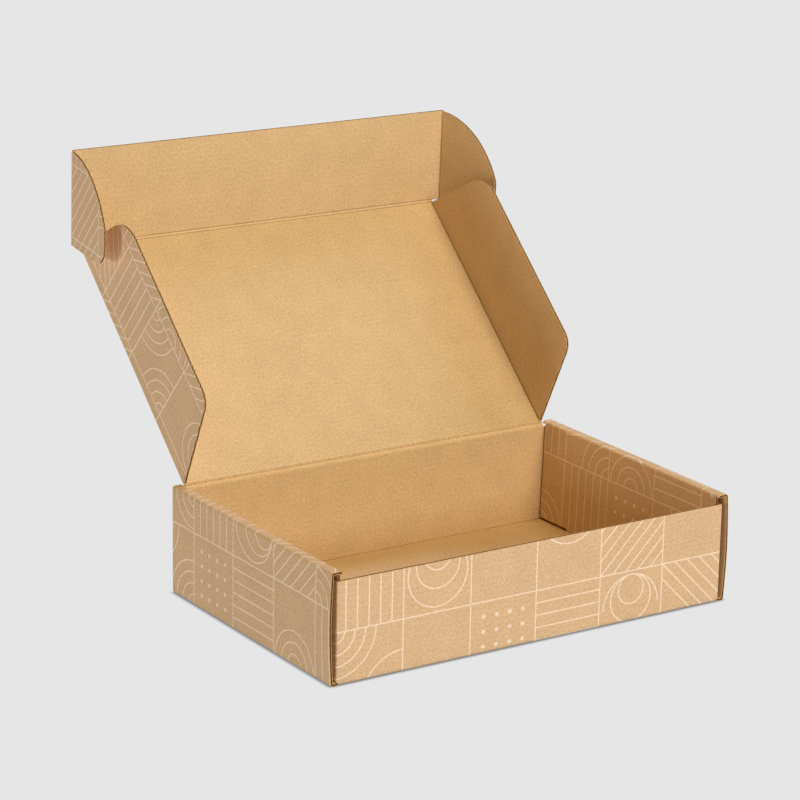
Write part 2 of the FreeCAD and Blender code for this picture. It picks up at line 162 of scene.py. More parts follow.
# A score's groove and ridge: for each, how far it lies from the fold, its half width, and
# its share of the groove's depth.
SCORES = {
    # A fold of the made-up tray, pressed in at its corner, with a low ridge beside it.
    "folded": (0.0, 0.9, 1.0, 1.4, 0.6, 0.3),
    # The tuck flap's fold, whose paper stands up close to it.
    "raised": (1.2, 0.33, 1.0, 0.5, 0.4, 0.6),
    # The hinge's upper score, between strip and lid.
    "sunk": (0.35, 0.36, 0.9, 1.35, 0.6, 0.25),
    # The hinge's lower score, between back wall and strip, hardly pressed.
    "soft": (0.0, 0.9, 0.15, 1.35, 0.6, 0.0),
    # Folds of side flaps and ears, whose groove shows where two panels meet squarely.
    "deep": (1.05, 0.36, 1.0, 1.65, 0.5, 0.2),
    # For the painted shade alone, with no relief: a painted highlight down the strip's middle, where its
    # curve would catch the light, and painted shade in the folds at the foot of the front and back walls,
    # with a paler painted line beside them.
    "bowed": (0.0, 1.0, 0.0, 0.0, 2.4, 0.33),
    "standing": (0.0, 0.8, 1.0, 1.4, 0.5, 0.3),
}

# Mesh edges across each bend of a folded path.
BEND_EDGES = 17


def scored_in(off, groove, shape):
    """Depth of a score at a distance from its fold; below nothing where it stands up."""
    valley_at, valley_reach, valley, ridge_at, ridge_reach, ridge = SCORES[shape]
    return groove * (valley * max(0.0, 1.0 - abs(off - valley_at) / valley_reach)
                     - ridge * max(0.0, 1.0 - abs(off - ridge_at) / ridge_reach))


class FoldedPath:
    """The board's middle line in section: straight runs joined by tight arcs.

    A place on it is its distance along the straight runs, measured to their corners,
    so it is also a distance on the flat sheet. Heights are above the middle, towards
    the sheet's inside face, which lies on the left of the path."""

    def __init__(self, corners, radius, start=0.0, groove=0.0):
        self.corners = [np.array(corner, float) for corner in corners]
        self.ways = []
        self.stops = [start]
        for one, two in zip(self.corners, self.corners[1:]):
            length = np.linalg.norm(two - one)
            self.ways.append((two - one) / length)
            self.stops.append(self.stops[-1] + length)
        self.radius = radius
        self.groove = groove
        self.bends = []
        for index in range(1, len(self.corners) - 1):
            before, after = self.ways[index - 1], self.ways[index]
            turn = math.atan2(before[0] * after[1] - before[1] * after[0], before @ after)
            reach = radius * math.tan(abs(turn) / 2)
            self.bends.append((self.stops[index], index, turn, reach))

    def at(self, run):
        """The middle line's point and inside direction at a place."""
        for stop, index, turn, reach in self.bends:
            if abs(run - stop) < reach:
                before = self.ways[index - 1]
                side = math.copysign(1.0, turn)
                normal = np.array((-before[1], before[0]))
                centre = self.corners[index] - before * reach + normal * self.radius * side
                angle = turn * (run - stop + reach) / (2 * reach)
                cos, sin = math.cos(angle), math.sin(angle)
                inside = np.array((normal[0] * cos - normal[1] * sin, normal[0] * sin + normal[1] * cos))
                return centre - inside * self.radius * side, inside
        index = 0
        while index < len(self.ways) - 1 and run > self.stops[index + 1]:
            index += 1
        way = self.ways[index]
        return self.corners[index] + way * (run - self.stops[index]), np.array((-way[1], way[0]))

    def crush(self, run):
        """How far the inside paper is pressed in at a place."""
        return sum(scored_in(abs(run - bend[0]), self.groove, "folded") for bend in self.bends)

    def lines(self, reach):
        """Places across each bend where the mesh needs an edge."""
        steps = np.linspace(-reach, reach, BEND_EDGES)
        return [stop + step for stop, *_ in self.bends for step in steps]


# ---------------------------------------------------------------- a sheet of board

# Points closer than this are one, in metres.
WELD_DISTANCE = 1e-5
# Edges that turn more than this stay sharp.
SHARP_TURN = math.radians(30)
# A mesh point this near to a line lies on it, in millimetres.
ON_LINE = 2e-4
# The triangulation's kind of result, and how near two of its points are the same.
ALL_TRIANGLES = 0
SAME_POINT = 1e-4

# What each kind of cut edge shows, from the outside paper to the inside one.
EDGE_KINDS = {
    "plain": [CUT],
    "along": [CUT, FLUTE, FLUTE, FLUTE, CUT],
    "flute": [CUT, FLUTE, FLUTE, FLUTE, CUT, FLUTE, FLUTE, FLUTE, CUT],
    "bead": [OUTSIDE] * 7 + [INSIDE] * 4,
    "under": [OUTSIDE] * 7 + [INSIDE] * 4,
}
# Steps round the bead at a hinge, and the radius of the edge that faces it as a share of
# the bead's.
BEAD_STEPS = 10
UNDER_SHARE = 0.95
# Depth between the papers of an edge cut along the flutes.
ALONG_RECESS = 0.35
# The fluted paper in an edge cut across the flutes: its thickness, and the least air beside
# it, as shares of the board's. On its inner side the recess is this share as deep.
MEDIUM_SHARE = 0.16
SLIVER = 0.02
SHALLOW_SHARE = 0.6
# Length of the step that closes an edge's end.
LIP = 0.4


class Sheet:
    """Faces of one piece of board, gathered before they are welded into a mesh.

    scores give its inside paper painted shade in their grooves and a painted highlight on their ridges: the
    way across each, its place and its shape."""

    def __init__(self, values):
        self.values = values
        self.faces = []
        self.scores = ()

    def add(self, corners, flat, kind):
        self.faces.append((corners, flat, kind))

    def patch(self, runs, place, creases=(), holes=(), marks=()):
        """Two papers and the cut edges of one stretch of board.

        runs are the outline's stretches in order, each a kind and its points on the
        flat sheet, anticlockwise; place turns a flat point and a share of the board's
        thickness, 0 outside and 1 inside, into a point in space."""
        runs = joined(runs)
        outline = [point for _, points in runs for point in points[:-1]]
        top = triangulate(outline, holes, creases, marks)
        runs = [(kind, refined(points, top[0])) for kind, points in runs]
        inked_edges = {edge_key(top[0][i], top[0][j]) for (a, b, c), inked in top[1] if inked
                       for i, j in ((a, b), (b, c), (c, a))}
        holes = [refined(hole + hole[:1], top[0])[:-1] for hole in holes]
        outline = [point for _, points in runs for point in points[:-1]]
        bottom = triangulate(outline, holes, creases, ())
        papers = ((top, 0.0, (OUTSIDE, INK)), (bottom, 1.0, (INSIDE, INSIDE)))
        for (points, triangles), share, kinds in papers:
            space = [place(*point, share) for point in points]
            for triangle, inked in triangles:
                self.add([space[i] for i in triangle], [points[i] for i in triangle], kinds[inked])
        for kind, points in runs:
            if kind != "weld":
                self.edge(kind, points, place, inked_edges)
        for hole in holes:
            self.edge("plain", (hole + hole[:1])[::-1], place, inked_edges)

    def edge(self, kind, points, place, inked_edges):
        """The cut edge along points: both papers and what shows between them."""
        columns = []
        last = len(points) - 1
        for index, point in enumerate(points):
            before, after = points[max(index - 1, 0)], points[min(index + 1, last)]
            way = np.array(after) - np.array(before)
            inward = np.array((-way[1], way[0])) / np.linalg.norm(way)
            ends = index in (0, last)
            profile = edge_profile(kind, point, self.values)
            columns.append([
                (place(*(np.array(point) + inward * (0 if ends else recess)), share), point)
                for share, recess in profile
            ])
        kinds = EDGE_KINDS[kind]
        for one, two in zip(columns, columns[1:]):
            inked = edge_key(one[0][1], two[0][1]) in inked_edges
            for row, shown in enumerate(kinds):
                if shown == OUTSIDE and inked:
                    shown = INK
                corners = (one[row], one[row + 1], two[row + 1], two[row])
                self.add([corner[0] for corner in corners], [corner[1] for corner in corners], shown)

    def pressed(self, point, kind):
        """How much painted shade a score's groove, and painted highlight its ridge, puts on the inside
        paper at a flat point: the depth its profile would press, as a share of the groove.
        """
        if kind != INSIDE:
            return 0.0
        return sum(scored_in(abs(point[along == "y"] - at), 1.0, shape)
                   for along, at, shape in self.scores)

    def make(self, name, materials):
        """Weld the faces into one mesh object, in metres."""
        points = [corner * MM for corners, _, _ in self.faces for corner in corners]
        loops, count = [], 0
        for corners, _, _ in self.faces:
            loops.append(tuple(range(count, count + len(corners))))
            count += len(corners)
        mesh = bpy.data.meshes.new(name)
        mesh.from_pydata([tuple(point) for point in points], [], loops)
        places = [(uv, kind) for _, uvs, kind in self.faces for uv in uvs]
        flat = mesh.uv_layers.new(name="Flat")
        flat.data.foreach_set("uv", np.array([uv for uv, _ in places], float).ravel() * MM)
        # The scores' painted shade and painted highlight, for the inside paper's material to draw.
        pressed = mesh.attributes.new(name="Pressed", type="FLOAT", domain="CORNER")
        pressed.data.foreach_set("value", [self.pressed(uv, kind) for uv, kind in places])
        mesh.polygons.foreach_set("material_index", [kind for _, _, kind in self.faces])
        for material in materials:
            mesh.materials.append(material)
        weld = bmesh.new()
        weld.from_mesh(mesh)
        bmesh.ops.remove_doubles(weld, verts=weld.verts, dist=WELD_DISTANCE)
        bmesh.ops.dissolve_degenerate(weld, dist=WELD_DISTANCE, edges=weld.edges)
        bmesh.ops.recalc_face_normals(weld, faces=weld.faces)
        weld.to_mesh(mesh)
        weld.free()
        mesh.shade_smooth()
        mesh.set_sharp_from_angle(angle=SHARP_TURN)
        piece = bpy.data.objects.new(name, mesh)
        bpy.context.scene.collection.objects.link(piece)
        return piece


def edge_key(one, two):
    """The same key for an edge of the flat sheet whichever way it is walked, to 0.01 mm."""
    return tuple(sorted((round(float(x), 2), round(float(y), 2)) for x, y in (one, two)))


def joined(runs):
    """Stretches of outline with neighbours of one kind joined, around the start too."""
    merged = []
    for kind, points in runs:
        if merged and merged[-1][0] == kind:
            merged[-1] = (kind, merged[-1][1] + points[1:])
        else:
            merged.append((kind, list(points)))
    if len(merged) > 1 and merged[0][0] == merged[-1][0]:
        kind, points = merged.pop()
        merged[0] = (kind, points + merged[0][1][1:])
    return merged


def edge_profile(kind, point, values):
    """Shares of the thickness and depths below the cut, from outside to inside."""
    board = values["board"]
    liner = values["liner"] / board
    if kind in ("bead", "under"):
        radius = board / 2 * (1.0 if kind == "bead" else UNDER_SHARE)
        top = board / 2 - scored_in(0.0, values["groove"], "soft")
        last = math.acos(max(-1.0, -top / radius))
        angles = [last * step / BEAD_STEPS for step in range(BEAD_STEPS + 1)]
        round_end = [((board / 2 - radius * math.cos(a)) / (board / 2 + top), -radius * math.sin(a))
                     for a in angles]
        return [(0, 0)] + round_end[1:] + [(1, 0)]
    if kind == "plain":
        return [(0, 0), (1, 0)]
    if kind == "along":
        recess = ALONG_RECESS
        return [(0, 0), (liner, 0), (liner, recess), (1 - liner, recess), (1 - liner, 0), (1, 0)]
    recess = values["flute_recess"]
    shallow = recess * SHALLOW_SHARE
    half = MEDIUM_SHARE / 2
    swing = 0.5 - liner - half
    middle = 0.5 + swing * math.cos(2 * math.pi * point[1] / values["flute_pitch"])
    low = max(middle - half, liner + SLIVER)
    high = min(middle + half, 1 - liner - SLIVER)
    return [(0, 0), (liner, 0), (liner, recess), (low, recess), (low, 0),
            (high, 0), (high, shallow), (1 - liner, shallow), (1 - liner, 0), (1, 0)]


def triangulate(outline, holes, creases, marks):
    """Triangles inside an outline, cut along creases and printed marks.

    Gives the points and, for each triangle, its corners and whether it is inked."""
    points, edges, faces = [], [], []

    def add_loop(loop):
        first = len(points)
        points.extend(Vector((float(x), float(y))) for x, y in loop)
        return list(range(first, len(points)))

    faces.append(add_loop(outline))
    for hole in holes:
        faces.append(add_loop(hole))
    spread = np.array(outline)
    low, high = spread.min(0), spread.max(0)
    for mark in marks:
        if (np.max(mark, 0) > low).all() and (np.min(mark, 0) < high).all():
            faces.append(add_loop(mark))
    for crease in creases:
        edges.append(tuple(add_loop(crease)))
    found, _, triangles, _, _, origins = delaunay_2d_cdt(points, edges, faces, ALL_TRIANGLES,
                                                         SAME_POINT, True)
    blocked = set(range(1, len(holes) + 1))
    kept = []
    for triangle, origin in zip(triangles, origins):
        if 0 in origin and not blocked.intersection(origin):
            kept.append((triangle, len(origin) > 1))
    return [(point.x, point.y) for point in found], kept


def refined(points, found):
    """A stretch of outline with every mesh point that lies on it."""
    cloud = np.array(found)
    result = [points[0]]
    for one, two in zip(points, points[1:]):
        start, way = np.array(one), np.array(two) - np.array(one)
        length = np.linalg.norm(way)
        along = (cloud - start) @ way / length
        off = np.abs((cloud - start) @ np.array((-way[1], way[0]))) / length
        on = (off < ON_LINE) & (along > ON_LINE) & (along < length - ON_LINE)
        for place in sorted(along[on]):
            point = tuple(start + way * place / length)
            if math.dist(point, result[-1]) > ON_LINE:
                result.append(point)
        result.append(two)
    return result


def line_points(start, end, step=0.0):
    """A straight stretch of outline, divided into steps if step is given."""
    count = max(1, round(math.dist(start, end) / step)) if step else 1
    way = np.array(end) - np.array(start)
    return [tuple(np.array(start) + way * i / count) for i in range(count + 1)]


def stretch(start, end, step=0.0):
    """A straight stretch with a short step at each end, for an edge that closes there."""
    length = math.dist(start, end)
    way = (np.array(end, float) - np.array(start, float)) / length
    lip = min(LIP, length / 3)
    first, last = tuple(np.array(start) + way * lip), tuple(np.array(end) - way * lip)
    return [tuple(start)] + line_points(first, last, step) + [tuple(end)]


def arc_points(centre, radius, start, end, step):
    """An arc from one angle to another, in degrees."""
    count = max(2, round(abs(math.radians(end - start)) * radius / step))
    angles = np.radians(np.linspace(start, end, count + 1))
    return [(centre[0] + radius * math.cos(a), centre[1] + radius * math.sin(a)) for a in angles]


def rounded_corner(before, corner, after, radius, step):
    """An arc that rounds a corner, from the first side to the second."""
    before, corner, after = (np.array(point, float) for point in (before, corner, after))
    one = (before - corner) / np.linalg.norm(before - corner)
    two = (after - corner) / np.linalg.norm(after - corner)
    half = math.acos(max(-1.0, min(1.0, one @ two))) / 2
    middle = (one + two) / np.linalg.norm(one + two)
    centre = corner + middle * radius / math.sin(half)
    start, end = corner + one * radius / math.tan(half), corner + two * radius / math.tan(half)
    first = math.atan2(*(start - centre)[::-1])
    last = math.atan2(*(end - centre)[::-1])
    turn = (last - first + math.pi) % (2 * math.pi) - math.pi
    return arc_points(centre, radius, math.degrees(first), math.degrees(first + turn), step)


def mirrored(runs):
    """An outline's stretches with left and right swapped, still anticlockwise."""
    return [(kind, [(-x, y) for x, y in reversed(points)]) for kind, points in reversed(runs)]


def mirrored_place(place):
    return lambda x, y, share: place(-x, y, share) * np.array((-1, 1, 1))


def height(path, run, share, board):
    """Height above the middle for a share of the thickness."""
    inside = board / 2 - path.crush(run)
    return -board / 2 * (1 - share) + inside * share


# ---------------------------------------------------------------- the print

# Step along a printed arc, and round a dot as a share of its radius.
ARC_STEP = 1.6
DOT_STEP = 0.625

# Spaces across a tile between its stripes, half rings, dots, slanting lines and bent lines.
STRIPE_GAPS = 6
RING_GAPS = 6.6
DOT_GAPS = 5
SLANT_GAPS = 5
WAVE_GAPS = 6.6
# A dot's radius in line widths.
DOT_LINES = 1.6
# How many half rings and bent lines a tile has.
RINGS = 3
WAVES = 4
# Radii of the touching rings, and how high they stand, as shares of the tile.
MOON_RINGS = (0.44, 0.32, 0.2)
MOON_RISE = 0.05

# Top of the print on the flat sheet, past the tuck flap's edge.
LAYOUT_TOP = 432.0
# The base's underside is plain: the walls' print ends this far round the fold.
PRINT_UNDER = 1.0


def bar(start, end, width):
    """A straight printed line, as the four corners of its outline."""
    start, end = np.array(start, float), np.array(end, float)
    way = (end - start) / np.linalg.norm(end - start)
    side = np.array((-way[1], way[0])) * width / 2
    return [tuple(start - side), tuple(end - side), tuple(end + side), tuple(start + side)]


def ring(centre, radius, start, end, width):
    """An arc's line, as pieces of at most a quarter turn."""
    pieces = []
    count = max(1, math.ceil(abs(end - start) / 90))
    stops = np.linspace(start, end, count + 1)
    for one, two in zip(stops, stops[1:]):
        outer = arc_points(centre, radius + width / 2, one, two, ARC_STEP)
        inner = arc_points(centre, radius - width / 2, two, one, ARC_STEP)
        pieces.append(outer + inner)
    return pieces


def dot(centre, radius):
    """A printed dot's outline."""
    return arc_points(centre, radius, 0, 360, radius * DOT_STEP)[:-1]


def tile_stripes(side, line):
    """Straight lines side by side."""
    gap = side / STRIPE_GAPS
    return [bar((gap * i, 0), (gap * i, side), line) for i in range(1, STRIPE_GAPS)]


def tile_rings(side, line):
    """Half rings standing on the tile's lower side."""
    shapes = []
    for i in range(1, RINGS + 1):
        shapes += ring((side / 2, 0), side * i / RING_GAPS, 0, 180, line)
    return shapes


def tile_dots(side, line):
    """Rows of dots."""
    gap = side / DOT_GAPS
    rows = range(1, DOT_GAPS)
    return [dot((gap * i, gap * j), DOT_LINES * line) for i in rows for j in rows]


def tile_slants(side, line):
    """Slanting lines from side to side."""
    shapes = []
    gap = side / SLANT_GAPS
    for i in range(1 - SLANT_GAPS, SLANT_GAPS):
        low, high = max(0, i * gap), min(side, side + i * gap)
        shapes.append(bar((low, low - i * gap), (high, high - i * gap), line))
    return shapes


def tile_moon(side, line):
    """Rings that all touch at the tile's lower side."""
    shapes = []
    for share in MOON_RINGS:
        shapes += ring((side / 2, side * (MOON_RISE + share)), side * share, 0, 360, line)
    return shapes


def tile_waves(side, line):
    """Lines that bend from one side of the tile to the other."""
    shapes = []
    gap = side / WAVE_GAPS
    for i in range(1, WAVES + 1):
        radius = gap * i
        shapes += ring((0, side), radius, 270, 360, line)
        shapes += ring((side, 0), radius, 90, 180, line)
    return shapes


def tile_frame(side, line):
    """Lines along two of a tile's sides; its neighbours' close the other two."""
    return [bar((0, 0), (0, side), line), bar((0, 0), (side, 0), line)]


def tile_plain(side, line):
    """Nothing inside the frame."""
    return []


MOTIFS = {"s": tile_stripes, "r": tile_rings, "d": tile_dots, "x": tile_slants,
          "m": tile_moon, "w": tile_waves, "o": tile_plain}

# The print's layout on the flat sheet, from the lid's front down to the tray's front.
# A letter is a motif; a capital is the same motif turned a quarter.
LAYOUT = (
    "ooxsoRomSdrxso",
    "odWXrdoWRsomWx",
    "soSXosmwRdxosr",
    "mRxSxomWodXRSd",
    "xdRwdSroxWosmo",
    "SrxrsWmoSdrXoR",
    "osoomxdRosWdxw",
    "dRrwSodxosmSRo",
    "xoSdWsoRmdxwSr",
    "rSmsdoxWSorRdm",
    "WoxRosdSxmosWX",
    "dmWSWodSmxrdoS",
    "oxrdsmorXoSWRx",
    "sWoRxdSomRxsdo",
)


def printed_marks(values):
    """Every printed shape on the flat sheet."""
    side, line = values["tile"], values["line"]
    left = -side * len(LAYOUT[0]) / 2
    marks = []
    for row, letters in enumerate(LAYOUT):
        for column, letter in enumerate(letters):
            corner = np.array((left + column * side, LAYOUT_TOP - (row + 1) * side))
            turned = letter.isupper()
            shapes = [[(side - y, x) if turned else (x, y) for x, y in shape]
                      for shape in MOTIFS[letter.lower()](side, line)]
            for shape in shapes + tile_frame(side, line):
                marks.append([tuple(corner + np.array(point)) for point in shape])
    return marks


def printed_past(marks, axis, start):
    """The printed shapes past start, to both sides, along one axis of the flat sheet."""
    return [mark for mark in marks if abs(np.mean(mark, axis=0)[axis]) > start - PRINT_UNDER]


# ---------------------------------------------------------------- the box's planes and places

X, Y, Z = np.eye(3)

# Radius of the corner flaps' folds at the board's middle.
CORNER_RADIUS = 0.35


class Places:
    """Places of the folds on the flat sheet and in space, from the frame."""

    def __init__(self, values):
        board, gap = values["board"], values["layer_gap"]
        half_width, half_depth, top = largest_corner("tray")
        self.half_width, self.half_depth, self.top = half_width, half_depth, top
        self.board = board
        self.middle = board / 2
        # To each side: the slot's inner side, where the corner flap lies, the end of the
        # front and back walls, and the inner wall's inner face at the roll.
        self.slot_side = half_width - board - values["ear_slot"]
        self.wall_end = self.slot_side - self.middle - CORNER_RADIUS
        self.roll_inner = self.slot_side - 2 * board - gap
        # The inner wall's foot: its height, and how far its lean has moved it.
        self.foot = board + values["wall_lift"]
        self.foot_shift = (top - board - self.foot) * math.tan(values["wall_lean"])
        self.front_top = top - values["front_drop"]
        # The hinges in space, and the ways that lid, tuck flap and strip run from them.
        self.lower = joint_place("lid_lower_score")
        self.upper = joint_place("lid_upper_score")
        self.tuck = joint_place("tuck_fold")
        self.flap = joint_place("side_flap_right_fold")
        self.ear = joint_place("ear_right_fold")
        self.lid_way = unit(self.tuck - self.upper)
        self.tuck_way = joint_axis("ear_right_fold")
        self.strip_way = unit(self.upper - self.lower)
        self.lid_length = np.linalg.norm(self.tuck - self.upper)
        # On the flat sheet, from its middle: the folds at the walls' foot and where the base
        # starts to bend, the two scores and the tuck flap's fold, the front wall's edge, and
        # the corner flaps' lower and upper ends.
        self.wall_turn = half_depth - self.middle
        self.base_flat = self.wall_turn - values["fold_radius"]
        self.flat_lower = self.wall_turn + self.lower[2] - self.middle
        self.flat_upper = self.flat_lower + np.linalg.norm(self.upper - self.lower)
        self.flat_tuck = self.flat_upper + self.lid_length
        self.flat_front = -(self.wall_turn + self.front_top - self.middle)
        self.corner_low = self.wall_turn + board + gap - self.middle
        self.corner_high = -self.flat_front - gap
        # Half the hinge strip's width, and the ears' bend, which their hinges can undo.
        self.hinge_end = largest_corner("lid_hinge_strip")[0]
        self.ear_bend = math.radians(JOINTS["ear_right_fold"]["range_deg"][1])


def unit(vector):
    return vector / np.linalg.norm(vector)


def section_place(path, board, across, one, two, along, hinges=()):
    """place() for a fold whose section lies in the plane of one and two.

    across names the flat coordinate that runs along the section; hinges are scores
    at the section's free end."""

    def place(x, y, share):
        run, rest = (x, y) if across == "x" else (y, x)
        point, inside = path.at(run)
        pressed = sum(scored_in(abs(run - at), path.groove, "soft") for at in hinges)
        point = point + inside * (height(path, run, share, board) - pressed * share)
        return one * point[0] + two * point[1] + along * rest

    return place


def mirrored_lines(lines):
    return [[(-x, y) for x, y in line] for line in lines]


# ---------------------------------------------------------------- pieces

# How far a crease runs past the board's edge, or across the flat sheet, along it and across
# a corner flap.
PAST = 5.0
FAR_ACROSS = 300.0
FAR_ALONG = 600.0
FAR_CORNER = 200.0
# How far a crease runs to each side of a weld's line, so that both patches have its points.
WELD_INSIDE, WELD_PAST = 1.0, 0.5
# Distances from a score at which the mesh has an edge.
RIDGE_EDGES = (0.17, 0.35, 0.52, 0.71, 0.88, 1.05, 1.22, 1.4, 1.65, 1.95, 2.15)
# Step along an edge cut across the flutes.
FLUTE_STEP = 0.42

# The inner side walls' lock tabs: their places from the box's middle, length, depth and air
# in their slots.
TAB_PLACES = (-46.0, 46.0)
TAB_LENGTH = 24.0
TAB_DEPTH = 2.2
TAB_AIR = 0.4
# Air at the inner side walls' foot, and at their two ends.
FOOT_AIR = 0.8
WALL_AIR = 1.1
# The corner flaps' length and taper.
CORNER_FLAP = 67.0
CORNER_TAPER = 5.0
# The outer side walls' bow at their free front ends: how far out, how far along the wall,
# how far it keeps from the folds, and the mesh rows and columns that bend with it.
WALL_BOW = 1.3
BOW_REACH = 45.0
BOW_MARGIN = 2.0
BOW_ROWS = 12
BOW_COLUMNS = np.array((0.04, 0.1, 0.18, 0.27, 0.38, 0.5, 0.65, 0.8, 1.0))

# The tuck flap, from its fold to its edge.
TUCK_LENGTH = 61.42
# The lid's side flaps: air at the hinge and at the tuck flap, depth, slants and roundings.
FLAP_START = 0.6
FLAP_END = 1.2
FLAP_DEPTH = 63.02
FLAP_BACK_SLANT = math.radians(17.0)
FLAP_FRONT_SLANT = math.radians(21.0)
FLAP_BACK_RADIUS = 11.0
FLAP_FRONT_RADIUS = 24.0
# The ears: air at the tuck flap's fold, reach, and the radii of the arc and the corner.
EAR_SHOULDER = 1.0
EAR_REACH = 55.5
EAR_ARC = 60.52
EAR_CORNER = 13.0


def tray_sheet(values, places, marks):
    """The folded tray: walls, base, rolled sides, corner flaps and lock tabs."""
    sheet = Sheet(values)
    turn = places.wall_turn
    # Painted shade along the folds at the foot of the front and back walls, with a painted highlight beside
    # them.
    sheet.scores = (("y", -turn, "standing"), ("y", turn, "standing"))
    path = FoldedPath([(-turn, places.front_top), (-turn, places.middle), (turn, places.middle),
                       (turn, places.lower[2])], values["fold_radius"], places.flat_front, values["groove"])
    folds = path.lines(values["crease_reach"])
    add_walls_and_base(sheet, places, marks, path, folds)
    add_rolled_sides(sheet, places, marks, folds)
    add_corner_flaps(sheet, places, marks, folds)
    return sheet


def add_walls_and_base(sheet, places, marks, path, folds):
    """Front wall, base and back wall in one run of board."""
    place = section_place(path, places.board, "y", Y, Z, X, [places.flat_lower])
    wall_end, base_end, hinge_end = places.wall_end, places.slot_side, places.hinge_end
    front, back, flat = places.flat_front, places.flat_lower, places.base_flat
    low, high = places.corner_low, places.corner_high
    right = [
        ("along", stretch((0, front), (wall_end, front))),
        ("plain", stretch((wall_end, front), (wall_end, -high))),
        ("weld", [(wall_end, -high), (wall_end, -low)]),
        ("plain", [(wall_end, -low), (wall_end, -flat), (base_end, -flat)]),
        ("weld", [(base_end, -flat), (base_end, flat)]),
        ("plain", [(base_end, flat), (wall_end, flat), (wall_end, low)]),
        ("weld", [(wall_end, low), (wall_end, high)]),
        ("plain", [(wall_end, high), (wall_end, back)]),
        ("plain", stretch((wall_end, back), (hinge_end, back))),
        ("under", stretch((hinge_end, back), (0, back))),
    ]
    end = base_end + PAST
    creases = [[(-end, run), (end, run)] for run in folds]
    creases += [[(-end, back - off), (end, back - off)] for off in RIDGE_EDGES]
    printed = printed_past(marks, 1, places.wall_turn)
    sheet.patch(right + mirrored(right), place, creases, tab_slots(places), printed)


def add_rolled_sides(sheet, places, marks, folds):
    """Outer wall, roll and inner wall of each side, with the edge of the base."""
    board, middle, top = places.board, places.middle, places.top
    radius, reach = sheet.values["fold_radius"], sheet.values["crease_reach"]
    lean = np.array((-places.foot_shift, places.foot - (top - board)))
    wall = places.half_width - middle
    inner_top = np.array((places.roll_inner + middle, top - middle))
    side = FoldedPath([(0, middle), (wall, middle), (wall, top - middle),
                       inner_top, inner_top + lean * (1 + middle / -lean[1])], radius)
    place = bowed_place(section_place(side, board, "x", X, Z, Y), places)
    roll_end = side.stops[3] + radius
    foot = side.stops[-1] - FOOT_AIR
    base_end, flat, half = places.slot_side, places.base_flat, places.half_depth
    stop = half - board - WALL_AIR
    deep = foot + TAB_DEPTH + FOOT_AIR
    tabs = [(foot, -stop)]
    for along in TAB_PLACES:
        low, high = along - TAB_LENGTH / 2, along + TAB_LENGTH / 2
        tabs += [(foot, low), (deep, low), (deep, high), (foot, high)]
    tabs.append((foot, stop))
    runs = [
        ("plain", [(base_end, -flat), (base_end, -half)]),
        ("along", stretch((base_end, -half), (roll_end, -half))),
        ("plain", [(roll_end, -half), (roll_end, -stop)]),
        ("along", stretch((roll_end, -stop), (foot, -stop))),
        ("plain", tabs),
        ("along", stretch((foot, stop), (roll_end, stop))),
        ("plain", [(roll_end, stop), (roll_end, half)]),
        ("along", stretch((roll_end, half), (base_end, half))),
        ("plain", [(base_end, half), (base_end, flat)]),
        ("weld", [(base_end, flat), (base_end, -flat)]),
    ]
    creases = [[(run, -half - PAST), (run, half + PAST)] for run in side.lines(reach)]
    creases += weld_creases(base_end, folds)
    low, high = side.stops[1] + BOW_MARGIN, side.stops[2] - BOW_MARGIN
    creases += [[(run, -half - PAST), (run, BOW_REACH - half)] for run in np.linspace(low, high, BOW_ROWS)]
    creases += [[(low, run), (high, run)] for run in BOW_REACH * BOW_COLUMNS - half]
    patch_both(sheet, runs, place, creases, printed_past(marks, 0, wall))


def add_corner_flaps(sheet, places, marks, folds):
    """Corner flaps behind the ends of the front and back walls."""
    turn, end = places.wall_turn, places.slot_side - places.middle
    low, high, wall_end = places.corner_low, places.corner_high, places.wall_end
    corner = FoldedPath([(0, -turn), (end, -turn), (end, -turn + CORNER_FLAP)], CORNER_RADIUS)
    far = corner.stops[-1]
    reach = sheet.values["crease_reach"]
    creases = [[(run, -FAR_CORNER), (run, FAR_CORNER)] for run in corner.lines(reach)]
    creases += weld_creases(wall_end, folds)
    for front in (-1, 1):

        def corner_place(x, y, share, front=front):
            point, inside = corner.at(x)
            point = point + inside * height(corner, x, share, places.board)
            return np.array((point[0], -point[1] * front, abs(y) - turn + places.middle))

        runs = [
            ("weld", [(wall_end, -low), (wall_end, -high)]),
            ("plain", [(wall_end, -high), (far, CORNER_TAPER - high)]),
            ("plain", [(far, CORNER_TAPER - high), (far, -CORNER_TAPER - low)]),
            ("plain", [(far, -CORNER_TAPER - low), (wall_end, -low)]),
        ]
        if front > 0:
            runs = [(kind, [(x, -y) for x, y in reversed(points)]) for kind, points in reversed(runs)]
        patch_both(sheet, runs, corner_place, creases, marks)


def patch_both(sheet, runs, place, creases, marks):
    """A patch on the right and its mirror image on the left."""
    sheet.patch(runs, place, creases, (), marks)
    sheet.patch(mirrored(runs), mirrored_place(place), mirrored_lines(creases), (), marks)


def weld_creases(at, folds):
    """The folds' creases where they cross a weld's line."""
    return [[(at - WELD_INSIDE, run), (at + WELD_PAST, run)] for run in folds]


def bowed_place(place, places):
    """place() for the side walls, whose outer wall bows out where its front end is free."""
    low, high = BOW_MARGIN, places.top - BOW_MARGIN

    def bowed(x, y, share):
        point = place(x, y, share)
        rise = min(max((point[2] - low) / (high - low), 0.0), 1.0)
        near = max(0.0, 1 - (y + places.half_depth) / BOW_REACH)
        # All of the outer wall's board bends, and nothing past the next board inwards.
        outer = min(max((point[0] - places.half_width) / places.board + 2, 0.0), 1.0)
        return point + X * (WALL_BOW * math.sin(math.pi * rise) * near ** 2 * outer)

    return bowed


def tab_slots(places):
    """Outlines of the base's slots for the lock tabs."""
    inner = places.roll_inner - places.foot_shift - TAB_AIR
    outer = places.roll_inner - places.foot_shift + places.board + TAB_AIR
    reach = TAB_LENGTH / 2 + TAB_AIR
    return [[(low, along - reach), (high, along - reach), (high, along + reach), (low, along + reach)]
            for low, high in ((inner, outer), (-outer, -inner)) for along in TAB_PLACES]


